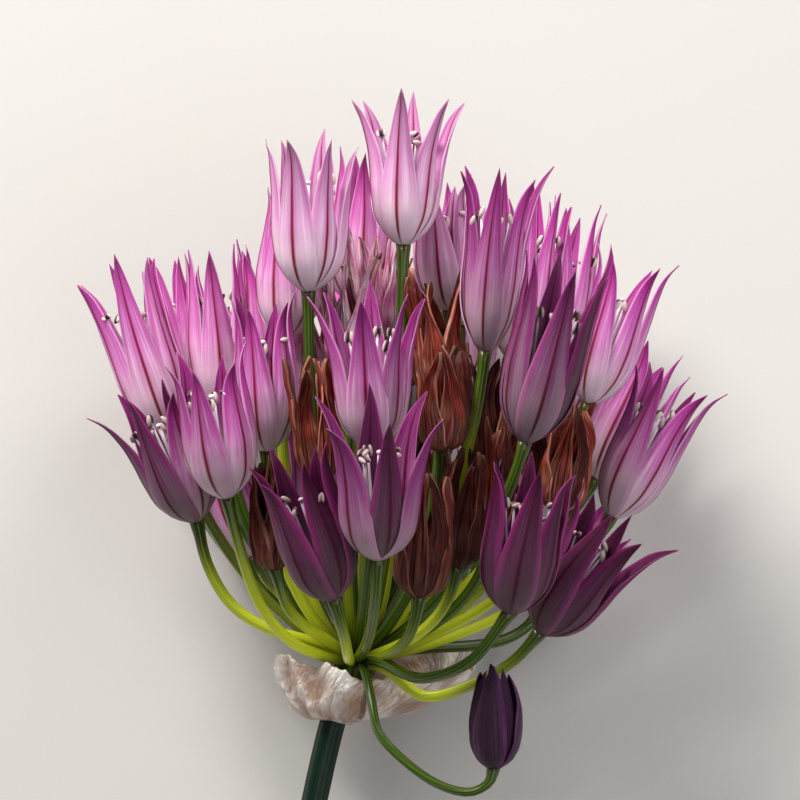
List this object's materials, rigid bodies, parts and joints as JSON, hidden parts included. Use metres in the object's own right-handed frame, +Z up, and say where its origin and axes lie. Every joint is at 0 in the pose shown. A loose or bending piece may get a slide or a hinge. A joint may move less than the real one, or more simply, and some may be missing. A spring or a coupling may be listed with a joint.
{
  "type": "allium flower head",
  "caption": "Pink allium flower head with pointed bell florets on green stalks, withered florets among them, a papery sheath and a short cut stem, laid on its side.",
  "frame": {"origin": "middle of the footprint, on the surface that the flower head lies on", "axes": "+Z up from that surface, +Y from the cut end of the stem toward the tips of the florets, +X to the right of someone looking down with +Y away from them"},
  "size_m": [0.0542, 0.0706, 0.0448],
  "materials": {
    "petal": "satin",
    "petal_dark": "satin",
    "withered": "dull",
    "green": "satin",
    "papery_sheath": "dull"
  },
  "bodies": {
    "root": {"stem_and_stalks": "green", "sheath_left": "papery_sheath", "sheath_right": "papery_sheath", "floret_top": "petal", "floret_top_left": "petal", "floret_crown_back": "petal", "floret_crown_left_back": "petal", "floret_crown_right": "petal", "floret_upper_right": "petal", "floret_upper_right_back": "petal", "floret_right_middle": "petal", "floret_right_front": "petal", "floret_right_rear": "petal", "floret_far_right": "petal", "floret_right_low": "petal", "floret_right_dark": "petal", "floret_front_dark": "petal", "floret_centre": "petal", "floret_centre_low": "petal", "floret_left_dark": "petal", "floret_left_front": "petal", "floret_left_low": "petal", "floret_far_left": "petal", "floret_left_rear": "petal", "floret_left_middle": "petal", "floret_left_high": "petal", "floret_left_inner": "petal", "floret_under_left": "petal", "floret_under_middle_left": "petal", "floret_under_middle_right": "petal", "floret_under_right": "petal", "floret_under_far_right": "petal", "floret_under_far_left": "petal", "floret_under_low_left": "petal", "floret_under_low_middle": "petal", "floret_under_low_inner": "petal", "floret_under_low_right": "petal", "floret_under_edge_right": "petal", "withered_front": "withered", "withered_left": "withered", "withered_centre_left": "withered", "withered_high": "withered", "withered_high_right": "withered", "withered_centre_right": "withered", "withered_inner_right": "withered", "withered_right": "withered", "withered_low_right": "withered", "withered_deep_right": "withered", "withered_crown": "withered", "withered_behind_left": "withered", "withered_behind_crown": "withered", "withered_far_right": "withered", "withered_deep": "withered", "floret_drooping": "petal_dark"}
  },
  "joints": []
}
